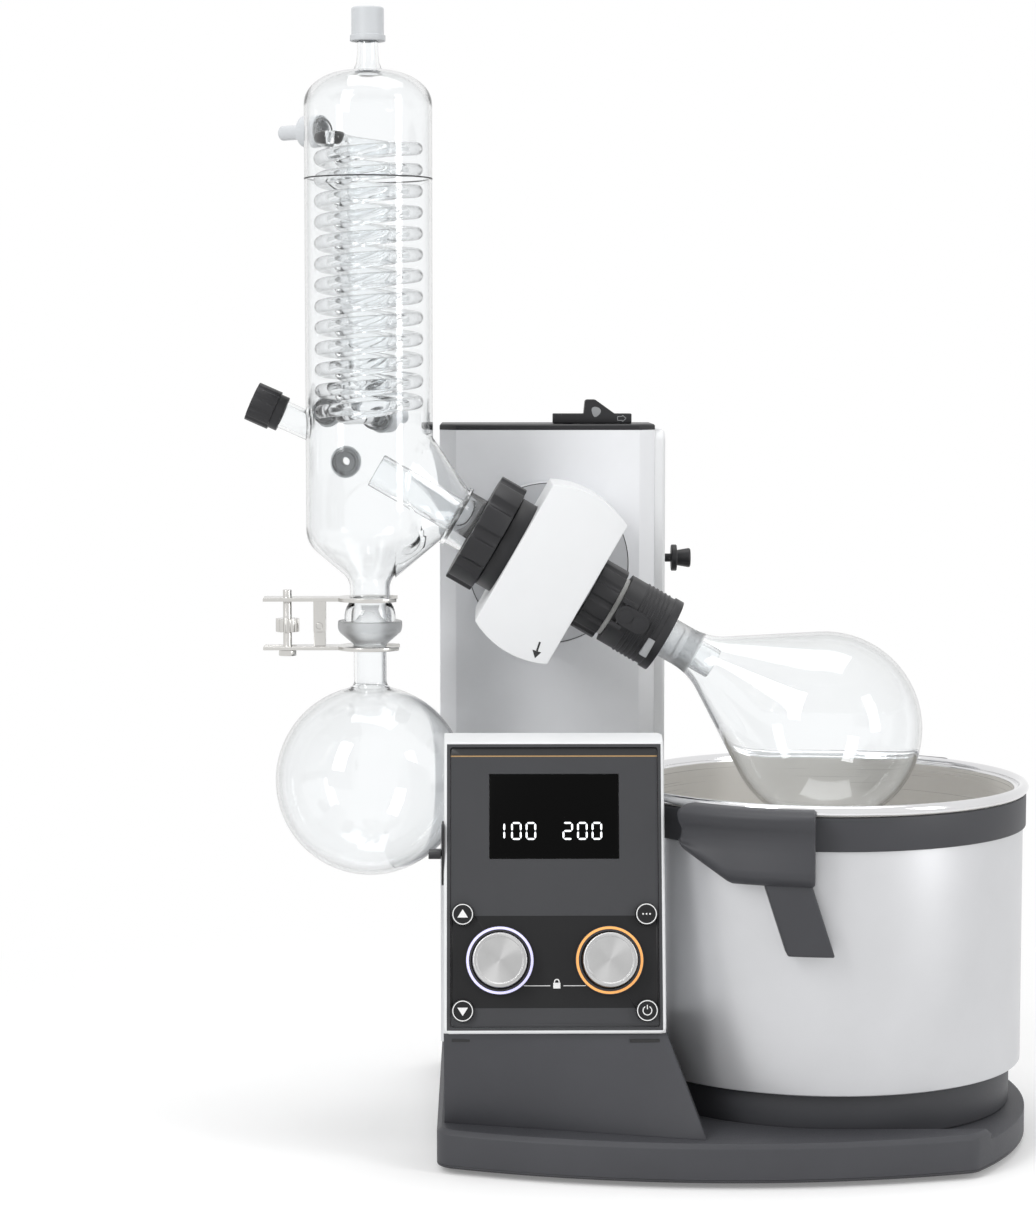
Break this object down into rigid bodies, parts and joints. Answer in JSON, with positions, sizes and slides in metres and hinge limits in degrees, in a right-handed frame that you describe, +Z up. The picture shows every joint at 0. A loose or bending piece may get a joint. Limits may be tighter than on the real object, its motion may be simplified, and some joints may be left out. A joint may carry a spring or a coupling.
{
  "type": "rotary evaporator",
  "caption": "Bench rotary evaporator: lifting tower, tilted flask drive, vertical coil condenser, receiving flask, round heating bath and a leaning control panel.",
  "frame": {"origin": "on the bench under the tower's centre line, in the plane of the glass", "axes": "+Z up, +X towards the bath, -Y towards the user"},
  "size_m": [0.5313, 0.3606, 0.7575],
  "materials": {
    "white_shell": "satin moulded",
    "base_paint": "satin powder coat",
    "dark_metal": "matt",
    "rubber": "matt",
    "aluminium": "anodised",
    "foil_grey": "satin foil",
    "screen": "gloss",
    "light_ring": "lit diffuser",
    "knob_metal": "turned",
    "button_grey": "satin",
    "black_plastic": "moulded",
    "steel": "brushed",
    "polished_steel": "polished",
    "grey_plastic": "moulded",
    "seal": "turned fluoropolymer",
    "glass": "clear",
    "inner_glass": "clear"
  },
  "bodies": {
    "base": {"base_shell": "base_paint", "base_plate": "dark_metal", "rubber_feet": "rubber", "pedestal": "base_paint", "lift_column": "aluminium", "mains_inlet": "black_plastic", "panel_housing": "white_shell", "panel_frame": "white_shell", "panel_foil": "foil_grey", "display_screen": "screen", "light_rings": "light_ring", "release_plate": "black_plastic"},
    "release": {"release_lever": "black_plastic"},
    "rotation_dial": {"rotation_knob": "knob_metal"},
    "temperature_dial": {"temperature_knob": "knob_metal"},
    "up_key": {"up_button": "button_grey"},
    "down_key": {"down_button": "button_grey"},
    "timer_key": {"timer_button": "button_grey"},
    "power_key": {"power_button": "button_grey"},
    "tower": {"tower_sleeve": "white_shell", "tower_cap": "black_plastic", "guide_blocks": "seal", "side_cover": "white_shell", "tilt_disc": "white_shell"},
    "lock": {"lock_lever": "black_plastic"},
    "tilt_lock": {"tilt_knob": "black_plastic"},
    "head": {"drive_housing": "white_shell", "back_cover": "white_shell", "bearings": "steel", "drive_motor": "steel", "drive_belt": "rubber", "drive_collar": "black_plastic", "shaft_seal": "seal", "condenser_jacket": "glass", "cooling_coil": "inner_glass", "top_cap": "grey_plastic", "hose_connectors": "grey_plastic", "receiving_flask": "glass", "upper_fork": "steel", "fork_pin": "steel", "clamp_screw": "steel"},
    "union": {"union_nut": "black_plastic"},
    "feed": {"feed_cap": "black_plastic"},
    "jaw": {"lower_fork": "steel"},
    "wing": {"clamp_nut": "steel"},
    "rotor": {"drive_hub": "aluminium", "driven_pulley": "aluminium", "vapour_tube": "inner_glass", "spacer_ring": "seal", "flask_clip": "black_plastic", "evaporating_flask": "glass"},
    "pinion": {"motor_pulley": "aluminium"},
    "ejector": {"clip_nut": "black_plastic"},
    "clip_key": {"clip_lever": "black_plastic"},
    "bath": {"bath_ring": "dark_metal", "bath_jacket": "polished_steel", "bath_band": "grey_plastic", "bath_pot": "polished_steel", "heater_ring": "steel", "bath_handles": "grey_plastic"}
  },
  "joints": [
    {"name": "lift", "type": "slide", "parent": "base", "child": "tower", "axis": [0, 0, 1], "range_m": [0, 0.15]},
    {"name": "head_tilt", "type": "hinge", "parent": "tower", "child": "head", "pos_m": [0, 0, 0.381], "axis": [0, 1, 0], "range_deg": [-10, 10]},
    {"name": "flask_rotation", "type": "hinge", "parent": "head", "child": "rotor", "pos_m": [0, 0, 0.381], "axis": [0.866, 0, -0.5], "continuous": true},
    {"name": "motor_spin", "type": "hinge", "parent": "head", "child": "pinion", "pos_m": [0, 0.044, 0.381], "axis": [0.866, 0, -0.5], "continuous": true},
    {"name": "ejector_turn", "type": "hinge", "parent": "rotor", "child": "ejector", "pos_m": [0, 0, 0.381], "axis": [0.866, 0, -0.5], "continuous": true},
    {"name": "clip_open", "type": "hinge", "parent": "rotor", "child": "clip_key", "pos_m": [0.0472, -0.029, 0.35375], "axis": [-0.5, 0, -0.866], "range_deg": [0, 20]},
    {"name": "union_turn", "type": "hinge", "parent": "head", "child": "union", "pos_m": [0, 0, 0.381], "axis": [0.866, 0, -0.5], "continuous": true},
    {"name": "feed_cap_turn", "type": "hinge", "parent": "head", "child": "feed", "pos_m": [-0.1224, 0, 0.4606], "axis": [-0.9135, 0, 0.4067], "continuous": true},
    {"name": "clamp_open", "type": "hinge", "parent": "head", "child": "jaw", "pos_m": [-0.1564, 0, 0.344], "axis": [0, 1, 0], "range_deg": [0, 10]},
    {"name": "clamp_nut_turn", "type": "hinge", "parent": "head", "child": "wing", "pos_m": [-0.1784, 0, 0.344], "axis": [0, 0, 1], "continuous": true},
    {"name": "lock_swing", "type": "hinge", "parent": "tower", "child": "lock", "pos_m": [0.015, 0.1145, 0.478], "axis": [0, 0, 1], "range_deg": [0, 60]},
    {"name": "tilt_knob_turn", "type": "hinge", "parent": "tower", "child": "tilt_lock", "pos_m": [0.0765, 0.132, 0.381], "axis": [1, 0, 0], "continuous": true},
    {"name": "bath_slide", "type": "slide", "parent": "base", "child": "bath", "axis": [1, 0, 0], "range_m": [0, 0.03]},
    {"name": "rotation_dial_turn", "type": "hinge", "parent": "base", "child": "rotation_dial", "pos_m": [-0.0352, -0.12558, 0.13842], "axis": [0, -0.9747, 0.2237], "continuous": true},
    {"name": "temperature_dial_turn", "type": "hinge", "parent": "base", "child": "temperature_dial", "pos_m": [0.0352, -0.12558, 0.13842], "axis": [0, -0.9747, 0.2237], "continuous": true},
    {"name": "release_turn", "type": "hinge", "parent": "base", "child": "release", "pos_m": [-0.0712, -0.106, 0.205], "axis": [1, 0, 0], "range_deg": [-20, 20]},
    {"name": "up_press", "type": "slide", "parent": "base", "child": "up_key", "axis": [0, 0.9747, -0.2237], "range_m": [0, 0.0012], "stiffness_N_per_m": 600},
    {"name": "down_press", "type": "slide", "parent": "base", "child": "down_key", "axis": [0, 0.9747, -0.2237], "range_m": [0, 0.0012], "stiffness_N_per_m": 600},
    {"name": "timer_press", "type": "slide", "parent": "base", "child": "timer_key", "axis": [0, 0.9747, -0.2237], "range_m": [0, 0.0012], "stiffness_N_per_m": 600},
    {"name": "power_press", "type": "slide", "parent": "base", "child": "power_key", "axis": [0, 0.9747, -0.2237], "range_m": [0, 0.0012], "stiffness_N_per_m": 600}
  ],
  "couplings": [
    {"joint": "motor_spin", "follows": "flask_rotation", "ratio": 3.0625}
  ]
}
